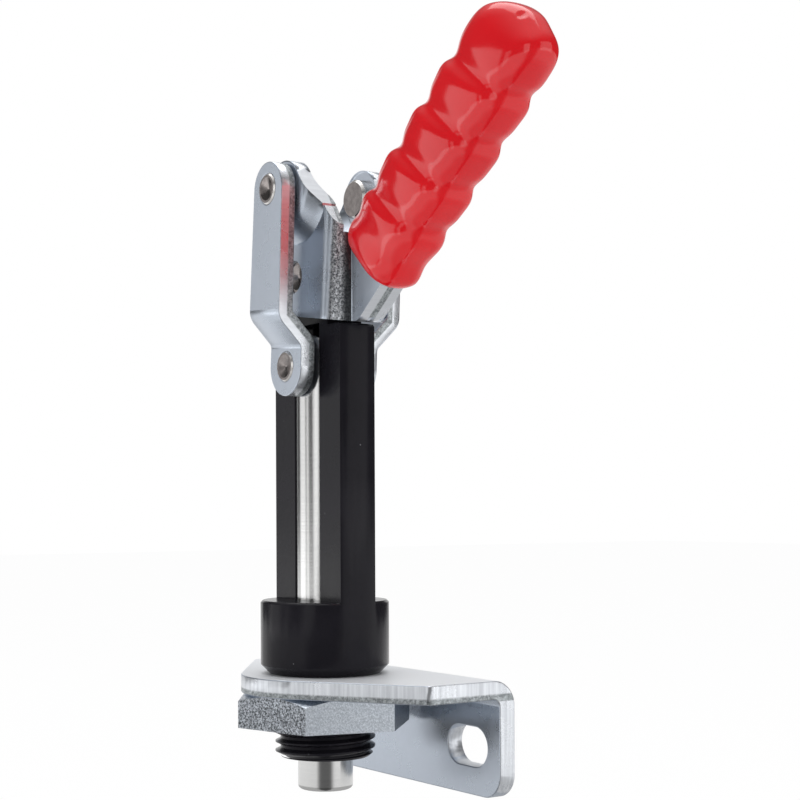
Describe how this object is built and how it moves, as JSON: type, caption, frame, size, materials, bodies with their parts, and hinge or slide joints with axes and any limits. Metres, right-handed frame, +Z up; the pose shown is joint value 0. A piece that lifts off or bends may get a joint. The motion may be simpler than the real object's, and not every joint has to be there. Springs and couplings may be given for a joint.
{
  "type": "push-pull toggle clamp",
  "caption": "Plunger toggle clamp: a slotted nose-mounted body, side straps, a plate lever with a moulded grip, lock nut and angle bracket.",
  "frame": {"origin": "centre of the plunger's tapped tip, with the plunger drawn back as it is at rest", "axes": "+Z up the plunger's axis towards the lever, +X towards the side that the handle leans to at rest, +Y towards the bracket's bolting leg"},
  "size_m": [0.1113, 0.0435, 0.1547],
  "materials": {
    "black_enamel": "semi-gloss black over a casting",
    "zinc_plate": "bright zinc over blanked sheet",
    "nut_zinc": "bright zinc over a forged nut",
    "ground_steel": "ground and polished",
    "rivet_steel": "dull, brown-grey, with a bright peened rim",
    "pin_steel": "turned",
    "red_grip": "glossy red vinyl"
  },
  "bodies": {
    "housing": {"housing": "black_enamel", "bracket": "zinc_plate", "lock_nut": "nut_zinc", "pivot_pin": "pin_steel"},
    "lever": {"lever_plate_near": "zinc_plate", "lever_plate_far": "zinc_plate", "grip": "red_grip", "upper_rivet_near": "rivet_steel", "upper_rivet_far": "rivet_steel"},
    "straps": {"strap_near": "zinc_plate", "strap_far": "zinc_plate", "lower_rivet_near": "rivet_steel", "lower_rivet_far": "rivet_steel"},
    "plunger": {"plunger": "ground_steel", "cross_pin": "pin_steel"}
  },
  "joints": [
    {"name": "lever_pivot", "type": "hinge", "parent": "housing", "child": "lever", "pos_m": [0, 0, 0.1108], "axis": [0, 1, 0], "range_deg": [-189.5, 0]},
    {"name": "strap_pivot", "type": "hinge", "parent": "lever", "child": "straps", "pos_m": [0.0025, 0, 0.12862], "axis": [0, 1, 0], "range_deg": [0, 186.4]},
    {"name": "plunger_slide", "type": "slide", "parent": "housing", "child": "plunger", "axis": [0, 0, 1], "range_m": [-0.03591, 0]}
  ],
  "couplings": [
    {"joint": "strap_pivot", "follows": "lever_pivot", "ratio": -0.98346},
    {"joint": "plunger_slide", "follows": "lever_pivot", "m_per_rad": 0.010855}
  ]
}
